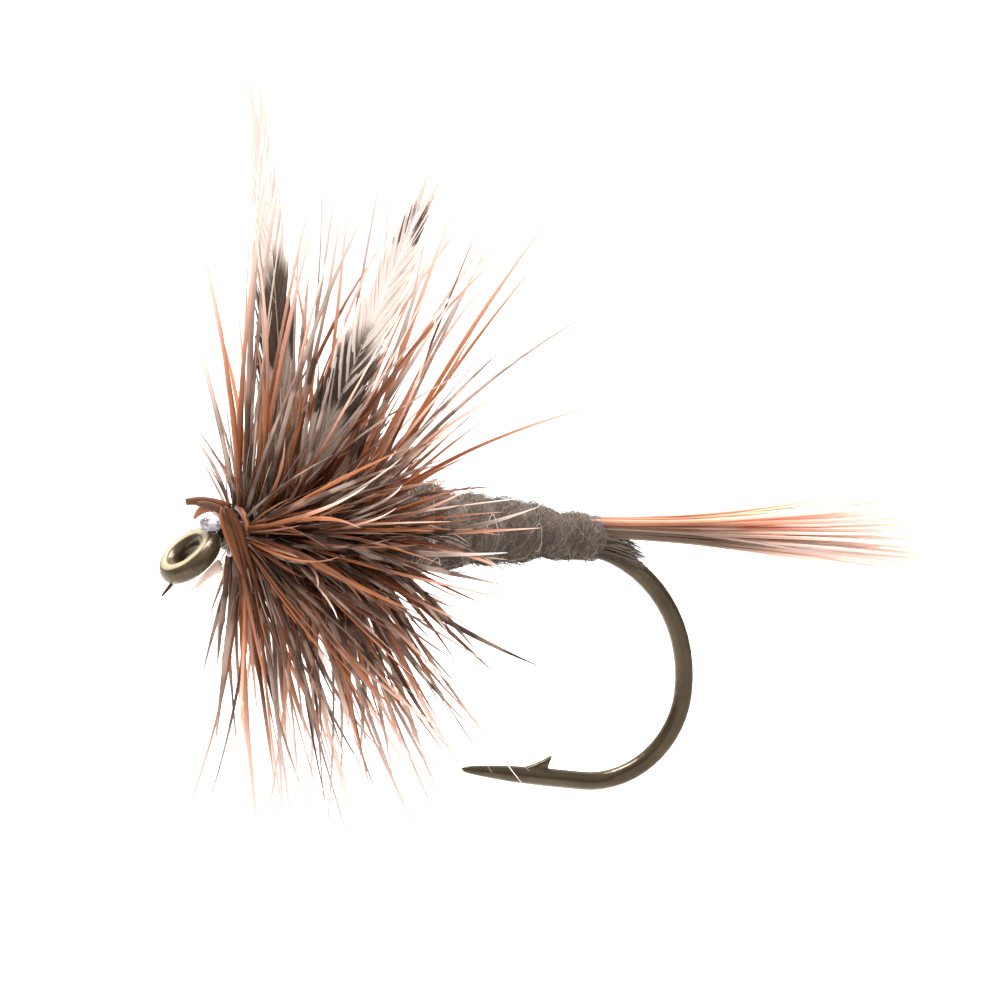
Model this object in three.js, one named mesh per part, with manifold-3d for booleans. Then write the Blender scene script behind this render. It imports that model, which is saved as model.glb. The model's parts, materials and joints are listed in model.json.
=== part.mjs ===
// A dry fly with upright, divided feather-tip wings and a wound collar, tied on a size 12 hook.
//
// Millimetres. +X runs along the shank from the eye to the bend, +Z is up, away from the point,
// and the XZ plane is the hook's own plane. The origin is the centre of the hole in the eye.

import * as THREE from 'three';
import { mergeVertices } from 'three/addons/utils/BufferGeometryUtils.js';
import Module from 'manifold-3d';

const wasm = await Module();
wasm.setup();

const DEG = Math.PI / 180;
const GAP = 0.012; // air left between two pieces that lie on each other

// Hook: bronzed wire, a down-turned ring eye, a bend of two arcs forged flat at its sides
const WIRE_RADIUS = 0.24;
const WIRE_SIDES = 16;
const EYE_RING_RADIUS = 0.64;
const EYE_WIRE_RADIUS = 0.27; // thicker than the shank by its lacquer
const EYE_DROP = 45 * DEG;
const EYE_NECK_LENGTH = 0.06;
const EYE_NECK_RADIUS = 0.5;
const SHANK_END_X = 10.1;
const UPPER_BEND_RADIUS = 3.88;
const LOWER_BEND_RADIUS = 2.34;
const FORGED_HALF_THICKNESS = 0.175;
const SPEAR_RISE = 4 * DEG; // the spear closes in on the shank towards the point
const SPEAR_RADIUS = 0.9 * WIRE_RADIUS; // at the foot of the barb, from where it tapers to the point
const POINT_X = 7.93;
const BARB_TIP_X = 10.51;
const BARB_LENGTH = 1.0;
const BARB_HEIGHT = 0.36;
const BARB_THICKNESS = 0.7 * WIRE_RADIUS;

// Tying thread and the stations along the shank where each stretch of it lies
const THREAD_RADIUS = 0.035;
const HEAD_FRONT_X = 0.7;
const HEAD_BACK_X = 1.0;
const HEAD_BACK_RADIUS = 0.5;
const CEMENT_THICKNESS = 0.04;
const WING_X = 2.42;
const BODY_FRONT_X = 4.72;
const BODY_BACK_X = 10.4;
const TAIL_WRAP_BACK_X = 11.05;

// Dubbed fur body: tapered, thickest behind the hackle, and higher than the shank by the butts under it
const BODY_RISE = 0.22;
const BODY_FRONT_RADIUS = 1.35;
const BODY_BACK_RADIUS = 0.62;
const BODY_FRONT_ROUNDING = 0.32; // the share of its radius lost at the very front
const BODY_BACK_ROUNDING = 0.25;
const BODY_RIDGES = 8;
const BODY_RIDGE_DEPTH = 0.07;

// Tail: rows of stiff fibres lashed on top of the shank, the lowest row first
const TAIL_LENGTH = 9.2;
const TAIL_ROWS = [5, 5, 4, 4];
const BARRED_TAIL_ROWS = 2; // the lower ones, with the brown fibres on top of them
const TAIL_FIBRE_RADIUS = 0.04;
const TAIL_FIBRE_TAPER = 0.85;
const TAIL_RISE = 0.8 * DEG;
const TAIL_SIDE_FAN = 8 * DEG; // how far the outer fibres turn to either side
const TAIL_UPRIGHT_FAN = 3.2 * DEG; // how far the outer rows turn up and down

// Wings: two feather tips as long as the shank
const WING_LENGTH = 10.8;
const WING_SPLAY = 31 * DEG;
const WING_LEAN = 1.4 * DEG; // back, towards the bend
const NEAR_WING_TWIST = 35 * DEG; // how far the vane's inner side turns to face back
const FAR_WING_TWIST = 15 * DEG;
const WING_HALF_WIDTH = 0.72;
const WING_STEM_RADIUS = 0.075;
const WING_STEM_TAPER = 0.8;
const WING_BUTT_ANGLE = 25 * DEG; // where each butt lies on the shank, from its top
const WING_FOOT_RISE = 0.45;
const VANE_THICKNESS = 0.07;

// Hackle: two feathers wound side by side, in front of the wings and behind them
const HACKLE_FRONT_X = 1.14;
const HACKLE_BACK_X = 4.42;
const HACKLE_STEM_RADIUS = 0.08;
const HACKLE_PITCH = 0.4;
const HACKLE_BARB_LENGTH = 8.5;
const HACKLE_BARB_RADIUS = 0.042;
const HACKLE_BARBS_A_TURN = 11.6; // not whole, so barbs of one turn don't line up with the next
const LEAN_AT_FRONT = -12 * DEG;
const LEAN_AT_BACK = 26 * DEG;
const SIDE_SWEEP = 12 * DEG; // how much further back the barbs lean that point to the sides

const SHANK_Z =
  (EYE_RING_RADIUS + EYE_NECK_LENGTH) * Math.sin(EYE_DROP) + EYE_NECK_RADIUS * (1 - Math.cos(EYE_DROP));
const SHANK_START_X =
  (EYE_RING_RADIUS + EYE_NECK_LENGTH) * Math.cos(EYE_DROP) + EYE_NECK_RADIUS * Math.sin(EYE_DROP);
const BEND_CENTRE_Z = SHANK_Z - UPPER_BEND_RADIUS;
const LOWER_BEND_CENTRE_X = SHANK_END_X + UPPER_BEND_RADIUS - LOWER_BEND_RADIUS;
const UNDERWRAP_RADIUS = WIRE_RADIUS + 2 * THREAD_RADIUS;
const WING_BUTT_RADIUS = UNDERWRAP_RADIUS + GAP + WING_STEM_RADIUS;
const LASHING_RADIUS = WING_BUTT_RADIUS + WING_STEM_RADIUS + 3 * THREAD_RADIUS;
const COIL_RADIUS = LASHING_RADIUS + GAP + HACKLE_STEM_RADIUS;

// ---------------------------------------------------------------------------
// Shape helpers
// ---------------------------------------------------------------------------

/** A geometry with its shared vertices merged, holding positions only. */
function weld(geometry) {
  geometry.deleteAttribute('normal');
  geometry.deleteAttribute('uv');
  return mergeVertices(geometry);
}

/** A geometry as a solid that can be joined and cut. */
function toSolid(geometry) {
  const welded = weld(geometry);
  return new wasm.Manifold(
    new wasm.Mesh({
      numProp: 3,
      vertProperties: new Float32Array(welded.attributes.position.array),
      triVerts: new Uint32Array(welded.index.array),
    }),
  );
}

function fromSolid(solid) {
  const mesh = solid.getMesh();
  const geometry = new THREE.BufferGeometry();
  geometry.setAttribute('position', new THREE.BufferAttribute(mesh.vertProperties, 3));
  geometry.setIndex(new THREE.BufferAttribute(mesh.triVerts, 1));
  return geometry;
}

/** One closed solid made by joining closed solids that overlap. */
function join(geometries) {
  return fromSolid(geometries.map(toSolid).reduce((whole, solid) => whole.add(solid)));
}

/** A closed solid with the space of another taken out of it. */
function cut(geometry, tool) {
  return fromSolid(toSolid(geometry).subtract(toSolid(tool)));
}

/**
 * A closed rod through a list of rings, each with its centre, two unit directions across the rod and a
 * radius. A ring with a `flat` is cut off at that distance on both sides, as a forged wire is. The rod
 * is a unit cylinder with each of its rings set in place, or a cone when it ends in a point.
 */
function rod(rings, sides, pointed = false) {
  const steps = rings.length - 1;
  const halfSide = Math.PI / sides;
  const geometry = new THREE.CylinderGeometry(pointed ? 0 : 1, 1, 1, sides, steps, false, halfSide);
  const position = geometry.attributes.position;
  const vertex = new THREE.Vector3();
  for (let i = 0; i < position.count; i++) {
    vertex.fromBufferAttribute(position, i);
    const ring = rings[Math.round((vertex.y + 0.5) * steps)];
    const reach = Math.hypot(vertex.x, vertex.z) || 1;
    const flat = ring.flat ?? ring.radius;
    const across = THREE.MathUtils.clamp((vertex.x / reach) * ring.radius, -flat, flat);
    const up = (vertex.z / reach) * ring.radius;
    vertex.copy(ring.centre).addScaledVector(ring.across, across).addScaledVector(ring.up, up);
    position.setXYZ(i, vertex.x, vertex.y, vertex.z);
  }
  return weld(geometry);
}

/** A rod along a space curve, its frames carried along without twist. */
function rodAlong(curve, steps, sides, radiusAt, pointed = false) {
  const frames = curve.computeFrenetFrames(steps);
  const rings = [];
  for (let i = 0; i <= steps; i++) {
    rings.push({
      centre: curve.getPointAt(i / steps),
      across: frames.normals[i],
      up: frames.binormals[i].clone().negate(),
      radius: radiusAt(i / steps),
    });
  }
  return rod(rings, sides, pointed);
}

/** A solid turned about the shank from [x, radius] pairs. */
function turned(profile, sides) {
  const points = profile.map(([x, radius]) => new THREE.Vector2(radius, x));
  const geometry = new THREE.LatheGeometry(points, sides);
  geometry.rotateZ(-Math.PI / 2);
  geometry.translate(0, 0, SHANK_Z);
  return weld(geometry);
}

/** A sleeve on the shank, given as [x, radius] pairs from front to back, with a bore of its own radius. */
function sleeve(outside, boreRadius, sides) {
  const [frontX] = outside[0];
  const [backX] = outside[outside.length - 1];
  return turned([[frontX, boreRadius], ...outside, [backX, boreRadius], [frontX, boreRadius]], sides);
}

/** [x, radius] pairs of a surface of rounded ridges from one x to another. */
function ridged(frontX, backX, ridges, radiusAt, depth) {
  const profile = [];
  const steps = ridges * 3;
  for (let i = 0; i <= steps; i++) {
    const along = i / steps;
    const crest = Math.abs(Math.sin(along * ridges * Math.PI));
    profile.push([frontX + (backX - frontX) * along, radiusAt(along) + depth * (crest - 1)]);
  }
  return profile;
}

/** The radius of a bore with flat sides that clears a round of the given radius. */
function boreRound(radius, sides) {
  return (radius + GAP) / Math.cos(Math.PI / sides);
}

// ---------------------------------------------------------------------------
// Hook
// ---------------------------------------------------------------------------

/** A ring of the hook's wire, heading along the hook's plane at an angle from +X towards +Z. */
function wireRing(x, z, heading, radius, flat) {
  return {
    centre: new THREE.Vector3(x, 0, z),
    across: new THREE.Vector3(0, 1, 0),
    up: new THREE.Vector3(Math.sin(heading), 0, -Math.cos(heading)),
    radius,
    flat,
  };
}

/** Rings of forged wire round an arc that is run clockwise, from one angle about its centre to another. */
function wireArc(centreX, centreZ, radius, from, to, steps) {
  const rings = [];
  for (let i = 0; i <= steps; i++) {
    const angle = THREE.MathUtils.lerp(from, to, i / steps);
    const x = centreX + radius * Math.cos(angle);
    const z = centreZ + radius * Math.sin(angle);
    rings.push(wireRing(x, z, angle - Math.PI / 2, WIRE_RADIUS, forgedThickness(angle)));
  }
  return rings;
}

/** Half the wire's thickness round the bend: round at its two ends, forged flat between them. */
function forgedThickness(angle) {
  const forging = 1 - THREE.MathUtils.smoothstep(Math.abs(angle), 65 * DEG, 85 * DEG);
  return THREE.MathUtils.lerp(WIRE_RADIUS, FORGED_HALF_THICKNESS, forging);
}

/** Rings of a rod that bends from the eye up to the shank, as the hook's neck does. */
function neckRings(radius) {
  const steps = 3;
  const rings = [];
  for (let i = 0; i <= steps; i++) {
    const angle = Math.PI / 2 + EYE_DROP * (1 - i / steps);
    const x = SHANK_START_X + EYE_NECK_RADIUS * Math.cos(angle);
    const z = SHANK_Z + EYE_NECK_RADIUS * (Math.sin(angle) - 1);
    rings.push(wireRing(x, z, angle - Math.PI / 2, radius));
  }
  return rings;
}

/** Height of the spear's centre line: a straight line that leaves the lower bend's arc where that ends. */
function spearZ(x) {
  const arcEndX = LOWER_BEND_CENTRE_X - LOWER_BEND_RADIUS * Math.sin(SPEAR_RISE);
  const arcEndZ = BEND_CENTRE_Z - LOWER_BEND_RADIUS * Math.cos(SPEAR_RISE);
  return arcEndZ + (arcEndX - x) * Math.tan(SPEAR_RISE);
}

function hookWire() {
  const hiddenInEye = 0.3 * WIRE_RADIUS; // how far past the ring's own middle line the wire runs into it
  const eyeEdge = EYE_RING_RADIUS - hiddenInEye;
  const rings = [wireRing(eyeEdge * Math.cos(EYE_DROP), eyeEdge * Math.sin(EYE_DROP), EYE_DROP, WIRE_RADIUS)];
  const bendEnd = -Math.PI / 2 - SPEAR_RISE;
  rings.push(
    ...neckRings(WIRE_RADIUS),
    ...wireArc(SHANK_END_X, BEND_CENTRE_Z, UPPER_BEND_RADIUS, Math.PI / 2, 0, 16),
    ...wireArc(LOWER_BEND_CENTRE_X, BEND_CENTRE_Z, LOWER_BEND_RADIUS, 0, bendEnd, 14).slice(1),
  );
  const spearHeading = Math.PI - SPEAR_RISE;
  rings.push(wireRing(BARB_TIP_X, spearZ(BARB_TIP_X), spearHeading, WIRE_RADIUS));
  const spearSteps = 5;
  const barbFootX = BARB_TIP_X - BARB_LENGTH;
  for (let i = 0; i <= spearSteps; i++) {
    const along = i / spearSteps;
    const x = THREE.MathUtils.lerp(barbFootX, POINT_X, along);
    rings.push(wireRing(x, spearZ(x), spearHeading, SPEAR_RADIUS * Math.sqrt(1 - along)));
  }
  return rod(rings, WIRE_SIDES, true);
}

function hookEye() {
  const ring = new THREE.TorusGeometry(EYE_RING_RADIUS, EYE_WIRE_RADIUS, 12, 30);
  ring.rotateY(-EYE_DROP);
  return ring;
}

/** The barb: a sliver raised from the inner side of the spear, its tip towards the bend. */
function hookBarb() {
  const rootHeight = SPEAR_RADIUS - 0.1; // inside the wire, so that the sliver grows out of it
  const outerCurveX = -0.4 * BARB_LENGTH;
  const outerCurveHeight = SPEAR_RADIUS + 0.05;
  const innerCurveX = -0.12 * BARB_LENGTH;
  const innerRootX = -0.06 * BARB_LENGTH;
  const outline = new THREE.Shape();
  outline.moveTo(-BARB_LENGTH, rootHeight);
  outline.quadraticCurveTo(outerCurveX, outerCurveHeight, 0, WIRE_RADIUS + BARB_HEIGHT);
  outline.quadraticCurveTo(innerCurveX, SPEAR_RADIUS, innerRootX, rootHeight);
  const geometry = new THREE.ExtrudeGeometry(outline, {
    depth: BARB_THICKNESS, bevelEnabled: false, curveSegments: 4,
  });
  geometry.rotateX(Math.PI / 2);
  geometry.translate(0, BARB_THICKNESS / 2, 0);
  geometry.rotateY(SPEAR_RISE);
  geometry.translate(BARB_TIP_X, 0, spearZ(BARB_TIP_X));
  return geometry;
}

// ---------------------------------------------------------------------------
// Thread, cement and fur
// ---------------------------------------------------------------------------

function threadUnderwrap() {
  const sides = 10;
  const bore = boreRound(WIRE_RADIUS, sides);
  const outside = [
    [HEAD_BACK_X + GAP, UNDERWRAP_RADIUS],
    [SHANK_END_X, UNDERWRAP_RADIUS],
  ];
  return sleeve(outside, bore, sides);
}

/** Height of the thread head above the shank's axis at a share of its length. */
function headRadius(along) {
  return THREE.MathUtils.lerp(WIRE_RADIUS + 3 * THREAD_RADIUS, HEAD_BACK_RADIUS, Math.sin((along * Math.PI) / 2));
}

/** The turns of the head, wound on the shank and on the start of the neck that bends down to the eye. */
function threadHead() {
  const turns = 5;
  const outside = ridged(HEAD_FRONT_X, HEAD_BACK_X, turns, headRadius, THREAD_RADIUS / 2);
  const whole = turned([[HEAD_FRONT_X, 0], ...outside, [HEAD_BACK_X, 0]], 14);
  const boreRadius = boreRound(WIRE_RADIUS, WIRE_SIDES);
  const wirePastHead = wireRing(HEAD_BACK_X + WIRE_RADIUS, SHANK_Z, 0, boreRadius);
  return cut(whole, rod([...neckRings(boreRadius), wirePastHead], WIRE_SIDES));
}

/** The clear coat over the front of the thread head, open in front for the wire. */
function headCement() {
  const sides = 14;
  const steps = 6;
  const coverage = 0.85;
  const inside = [];
  const outside = [];
  for (let i = 0; i <= steps; i++) {
    const along = (i / steps) * coverage;
    const x = THREE.MathUtils.lerp(HEAD_FRONT_X, HEAD_BACK_X, along);
    const radius = boreRound(headRadius(along), sides);
    inside.unshift([x, radius]);
    outside.push([x, radius + CEMENT_THICKNESS]);
  }
  return turned([...outside, ...inside, outside[0]], sides);
}

function wingLashing() {
  const sides = 12;
  const turns = 9;
  const frontX = WING_X + 0.35;
  const backX = BODY_FRONT_X - 0.3;
  const bore = boreRound(WING_BUTT_RADIUS + WING_STEM_RADIUS, sides);
  const outside = ridged(frontX, backX, turns, () => LASHING_RADIUS, THREAD_RADIUS / 2);
  return sleeve(outside, bore, sides);
}

function dubbedBody() {
  const sides = 16;
  const taper = (along) => {
    const rounding = 1 - BODY_FRONT_ROUNDING * (1 - along) ** 6 - BODY_BACK_ROUNDING * along ** 8;
    return THREE.MathUtils.lerp(BODY_FRONT_RADIUS, BODY_BACK_RADIUS, along) * rounding;
  };
  const outside = ridged(BODY_FRONT_X, BODY_BACK_X, BODY_RIDGES, taper, BODY_RIDGE_DEPTH);
  const whole = turned([[BODY_FRONT_X, 0], ...outside, [BODY_BACK_X, 0]], sides);
  whole.translate(0, 0, BODY_RISE);
  const boreRadius = boreRound(UNDERWRAP_RADIUS, sides);
  const boreFrontX = BODY_FRONT_X - 1;
  const boreBackX = BODY_BACK_X + 1;
  const bore = turned([[boreFrontX, 0], [boreFrontX, boreRadius], [boreBackX, boreRadius], [boreBackX, 0]], sides);
  return cut(whole, bore);
}

/** A thread wound as an open coil about a line along X, with an oval turn that holds a bundle on the shank. */
class OvalCoil extends THREE.Curve {
  constructor(frontX, backX, turns, halfWidth, bottomZ, topZ) {
    super();
    Object.assign(this, { frontX, backX, turns, halfWidth, bottomZ, topZ });
  }

  getPoint(t, target = new THREE.Vector3()) {
    const angle = t * this.turns * 2 * Math.PI;
    const middleZ = (this.topZ + this.bottomZ) / 2;
    const halfHeight = (this.topZ - this.bottomZ) / 2;
    return target.set(
      THREE.MathUtils.lerp(this.frontX, this.backX, t),
      this.halfWidth * Math.sin(angle),
      middleZ - halfHeight * Math.cos(angle),
    );
  }
}

// ---------------------------------------------------------------------------
// Tail
// ---------------------------------------------------------------------------

const TAIL_SPACING = 2 * TAIL_FIBRE_RADIUS + GAP;
const TAIL_FOOT_Z = SHANK_Z + WIRE_RADIUS + GAP + TAIL_FIBRE_RADIUS;

/** The fibre at a place in a row: its butt lies flat under the lashing, and it fans out more and more. */
function tailFibre(row, column) {
  const side = column - (TAIL_ROWS[row] - 1) / 2;
  const lift = (2 * row) / (TAIL_ROWS.length - 1) - 1;
  const turn = (side * 2 * TAIL_SIDE_FAN) / (Math.max(...TAIL_ROWS) - 1);
  const rise = TAIL_RISE + lift * TAIL_UPRIGHT_FAN;
  const shorterAtSide = 0.03;
  const shorterAbove = 0.02;
  const length = TAIL_LENGTH * (1 - shorterAtSide * Math.abs(side) - shorterAbove * lift);
  const y = side * TAIL_SPACING;
  const z = TAIL_FOOT_Z + row * TAIL_SPACING;
  const reach = (share, opening) =>
    new THREE.Vector3(
      TAIL_WRAP_BACK_X + share * length,
      y + share * length * Math.sin(opening * turn),
      z + share * length * Math.sin(opening * rise),
    );
  const curve = new THREE.CatmullRomCurve3([
    new THREE.Vector3(BODY_BACK_X + 2 * GAP, y, z),
    new THREE.Vector3(TAIL_WRAP_BACK_X, y, z),
    reach(0.35, 0.6), // a third of the way out it has opened a little over half
    reach(1, 1),
  ]);
  return rodAlong(curve, 6, 4, (along) => TAIL_FIBRE_RADIUS * (1 - TAIL_FIBRE_TAPER * along));
}

// ---------------------------------------------------------------------------
// Wings
// ---------------------------------------------------------------------------

/** The vane's leaf-shaped outline, with the stem along +Y, broadest towards its tip. */
function vaneOutline() {
  const start = 0.16 * WING_LENGTH;
  const lower = 0.24 * WING_LENGTH;
  const upper = 0.8 * WING_LENGTH;
  const narrow = WING_HALF_WIDTH;
  const broad = 1.5 * WING_HALF_WIDTH;
  const outline = new THREE.Shape();
  outline.moveTo(0, start);
  outline.bezierCurveTo(narrow, lower, broad, upper, 0, WING_LENGTH);
  outline.bezierCurveTo(-broad, upper, -narrow, lower, 0, start);
  return outline;
}

/** A feather tip on one side of the fly: side is -1 at -Y and 1 at +Y, and twist turns its vane. */
function wing(side, twist) {
  const buttY = side * WING_BUTT_RADIUS * Math.sin(WING_BUTT_ANGLE);
  const buttZ = SHANK_Z + WING_BUTT_RADIUS * Math.cos(WING_BUTT_ANGLE);
  const buttEndX = BODY_FRONT_X - 0.4;
  const bendLength = 0.4; // of the stem's turn from the shank up to the foot
  const along = new THREE.Vector3(0, side * Math.sin(WING_SPLAY), Math.cos(WING_SPLAY))
    .multiplyScalar(Math.cos(WING_LEAN))
    .setX(Math.sin(WING_LEAN));
  const foot = new THREE.Vector3(WING_X, 2 * buttY, buttZ + WING_FOOT_RISE);
  const tip = foot.clone().addScaledVector(along, WING_LENGTH);
  const stemPath = new THREE.CatmullRomCurve3([
    new THREE.Vector3(buttEndX, buttY, buttZ),
    new THREE.Vector3(WING_X + 2 * bendLength, buttY, buttZ),
    new THREE.Vector3(WING_X + bendLength, buttY, buttZ),
    foot,
    foot.clone().lerp(tip, 0.4),
    foot.clone().lerp(tip, 0.8),
    tip,
  ], false, 'centripetal');
  const stem = rodAlong(stemPath, 22, 6, (share) => WING_STEM_RADIUS * (1 - WING_STEM_TAPER * share));

  const vane = new THREE.ExtrudeGeometry(vaneOutline(), {
    depth: VANE_THICKNESS, bevelEnabled: false, curveSegments: 12,
  });
  vane.translate(0, 0, -VANE_THICKNESS / 2);
  const across = new THREE.Vector3(1, 0, 0).projectOnPlane(along).normalize();
  across.applyAxisAngle(along, side * twist);
  const facing = new THREE.Vector3().crossVectors(across, along);
  vane.applyMatrix4(new THREE.Matrix4().makeBasis(across, along, facing).setPosition(foot));
  return join([stem, vane]);
}

/** The thread crossed between the two wings and round the foot of each, which holds them apart. */
class FigureEight extends THREE.Curve {
  getPoint(t, target = new THREE.Vector3()) {
    const openShare = 0.04; // left open at each end, so that the thread doesn't meet itself
    const angle = THREE.MathUtils.lerp(openShare, 1 - openShare, t) * 2 * Math.PI;
    const halfLength = 0.2;
    const halfWidth = 0.62;
    const overlap = 0.04;
    return target.set(
      WING_X + halfLength * Math.sin(2 * angle),
      halfWidth * Math.sin(angle),
      SHANK_Z + WING_BUTT_RADIUS + WING_FOOT_RISE - THREAD_RADIUS + overlap * Math.cos(angle),
    );
  }
}

// ---------------------------------------------------------------------------
// Hackle
// ---------------------------------------------------------------------------

/**
 * The line of a hackle's stem: turns in front of the wings, half a turn under the shank past the
 * wings, and turns behind them up to the body.
 */
class HackleCoil extends THREE.Curve {
  constructor(shift) {
    super();
    this.shift = shift;
    this.frontTurns = 2.25;
    this.crossTurns = 0.5;
    this.backTurns = 3.25;
    this.turns = this.frontTurns + this.crossTurns + this.backTurns;
    this.crossFrontX = HACKLE_FRONT_X + this.frontTurns * HACKLE_PITCH;
    this.crossBackX = HACKLE_BACK_X - this.backTurns * HACKLE_PITCH;
  }

  /** How far along the shank the stem has gone after a number of turns. */
  xAfter(turn) {
    if (turn < this.frontTurns) return HACKLE_FRONT_X + turn * HACKLE_PITCH + this.shift;
    const crossed = Math.min((turn - this.frontTurns) / this.crossTurns, 1);
    const x = THREE.MathUtils.lerp(this.crossFrontX, this.crossBackX, crossed) + this.shift;
    return x + Math.max(turn - this.frontTurns - this.crossTurns, 0) * HACKLE_PITCH;
  }

  getPoint(t, target = new THREE.Vector3()) {
    const turn = t * this.turns;
    const angle = turn * 2 * Math.PI;
    return target.set(this.xAfter(turn), -COIL_RADIUS * Math.sin(angle), SHANK_Z + COIL_RADIUS * Math.cos(angle));
  }
}

/** True where a barb at this angle about the shank would run through a wing. */
function meetsWing(x, angle) {
  const fromTop = Math.abs(Math.atan2(Math.sin(angle), Math.cos(angle)));
  const room = 1.1;
  const roomAngle = 10 * DEG;
  return Math.abs(x - WING_X) < room && Math.abs(fromTop - WING_SPLAY) < roomAngle;
}

/** A barb that stands off the stem, leaning forward at the front of the collar and back behind it. */
function hackleBarb(x, angle, length) {
  const along = (x - HACKLE_FRONT_X) / (HACKLE_BACK_X - HACKLE_FRONT_X);
  const sideways = Math.abs(Math.sin(angle));
  const lean = THREE.MathUtils.lerp(LEAN_AT_FRONT, LEAN_AT_BACK, along) + SIDE_SWEEP * sideways;
  const outward = new THREE.Vector3(0, -Math.sin(angle), Math.cos(angle));
  const foot = new THREE.Vector3(x, 0, SHANK_Z).addScaledVector(outward, COIL_RADIUS);
  const ahead = new THREE.Vector3(1, 0, 0);
  const pointAt = (share, leaning) =>
    foot.clone()
      .addScaledVector(outward, share * length * Math.cos(leaning))
      .addScaledVector(ahead, share * length * Math.sin(leaning));
  const leanHalfWay = 0.8 * lean; // less than at the tip, so that the barb curves
  const curve = new THREE.QuadraticBezierCurve3(foot, pointAt(0.5, leanHalfWay), pointAt(1, lean));
  return rodAlong(curve, 2, 3, (share) => HACKLE_BARB_RADIUS * (1 - share), true);
}

/** A feather wound round the shank: its stem as a coil, with its barbs standing out all round. */
function hackle(shift, seed) {
  const coil = new HackleCoil(shift);
  const random = THREE.MathUtils.seededRandom;
  random(seed);
  const parts = [rodAlong(coil, Math.round(coil.turns * 10), 5, () => HACKLE_STEM_RADIUS)];
  const barbs = Math.round(coil.turns * HACKLE_BARBS_A_TURN);
  for (let i = 0; i < barbs; i++) {
    const turn = ((i + 0.3 + 0.4 * random()) / barbs) * coil.turns;
    const length = HACKLE_BARB_LENGTH * (0.93 + 0.07 * random());
    const angle = turn * 2 * Math.PI;
    const x = coil.xAfter(turn);
    if (!meetsWing(x, angle)) parts.push(hackleBarb(x, angle, length));
  }
  return join(parts);
}

// ---------------------------------------------------------------------------
// The fly
// ---------------------------------------------------------------------------

function material(color, roughness, metalness = 0) {
  return new THREE.MeshStandardMaterial({ color, roughness, metalness });
}

const bronze = material(0x4a3f30, 0.38, 0.9);
const greyThread = material(0x8d8782, 0.7);
const clearCement = material(0xe9e4dc, 0.12);
const greyFur = material(0x6a6058, 0.95);
const brownFeather = material(0x8a4420, 0.6);
const barredFeather = material(0x5b4c44, 0.65);
const wingFeather = material(0xd8cfc6, 0.7);

const fly = new THREE.Group();
fly.name = 'dry_fly';

/** Adds a sub-part to the fly as a named mesh. */
function addPiece(name, geometry, finish) {
  geometry.computeVertexNormals();
  const mesh = new THREE.Mesh(geometry, finish.clone());
  mesh.name = name;
  fly.add(mesh);
}

addPiece('hook', join([hookWire(), hookEye(), hookBarb()]), bronze);
addPiece('thread_underwrap', threadUnderwrap(), greyThread);
addPiece('thread_head', threadHead(), greyThread);
addPiece('head_cement', headCement(), clearCement);
addPiece('wing_lashing', wingLashing(), greyThread);
addPiece('wing_figure_eight', rodAlong(new FigureEight(), 28, 5, () => THREAD_RADIUS), greyThread);
addPiece('dubbed_body', dubbedBody(), greyFur);

const tailTopZ = TAIL_FOOT_Z + (TAIL_ROWS.length - 1) * TAIL_SPACING + TAIL_FIBRE_RADIUS;
const tailHalfWidth = ((Math.max(...TAIL_ROWS) - 1) / 2) * TAIL_SPACING + TAIL_FIBRE_RADIUS;
const wrapClearance = THREAD_RADIUS + 5 * GAP; // the coil's facets cut its corners
const wrapTurns = 6;
const tailWrap = new OvalCoil(
  BODY_BACK_X + 2 * THREAD_RADIUS,
  TAIL_WRAP_BACK_X - THREAD_RADIUS,
  wrapTurns,
  tailHalfWidth + wrapClearance + 2 * THREAD_RADIUS,
  SHANK_Z - WIRE_RADIUS - wrapClearance - 2 * THREAD_RADIUS,
  tailTopZ + wrapClearance,
);
addPiece('tail_wraps', rodAlong(tailWrap, 12 * wrapTurns, 5, () => THREAD_RADIUS), greyThread);

TAIL_ROWS.forEach((count, row) => {
  for (let column = 0; column < count; column++) {
    const barred = row < BARRED_TAIL_ROWS;
    const name = `tail_fibre_${barred ? 'barred' : 'brown'}_${row + 1}${column + 1}`;
    addPiece(name, tailFibre(row, column), barred ? barredFeather : brownFeather);
  }
});

addPiece('wing_near', wing(-1, NEAR_WING_TWIST), wingFeather);
addPiece('wing_far', wing(1, FAR_WING_TWIST), wingFeather);
addPiece('hackle_brown', hackle(0, 13), brownFeather);
addPiece('hackle_barred', hackle(HACKLE_PITCH / 2, 29), barredFeather);

export default fly;
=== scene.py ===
"""Looks of a dry fly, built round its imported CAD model.

Lengths are in millimetres until a mesh is made. +X runs from the hook's eye to its bend, +Z is up, and the
origin is the centre of the eye. Feathers, fur and thread are meshes of many fine tapered fibres.
"""

import json
import math

import bmesh
import bpy
import numpy as np
from mathutils import Matrix, Vector


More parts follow.
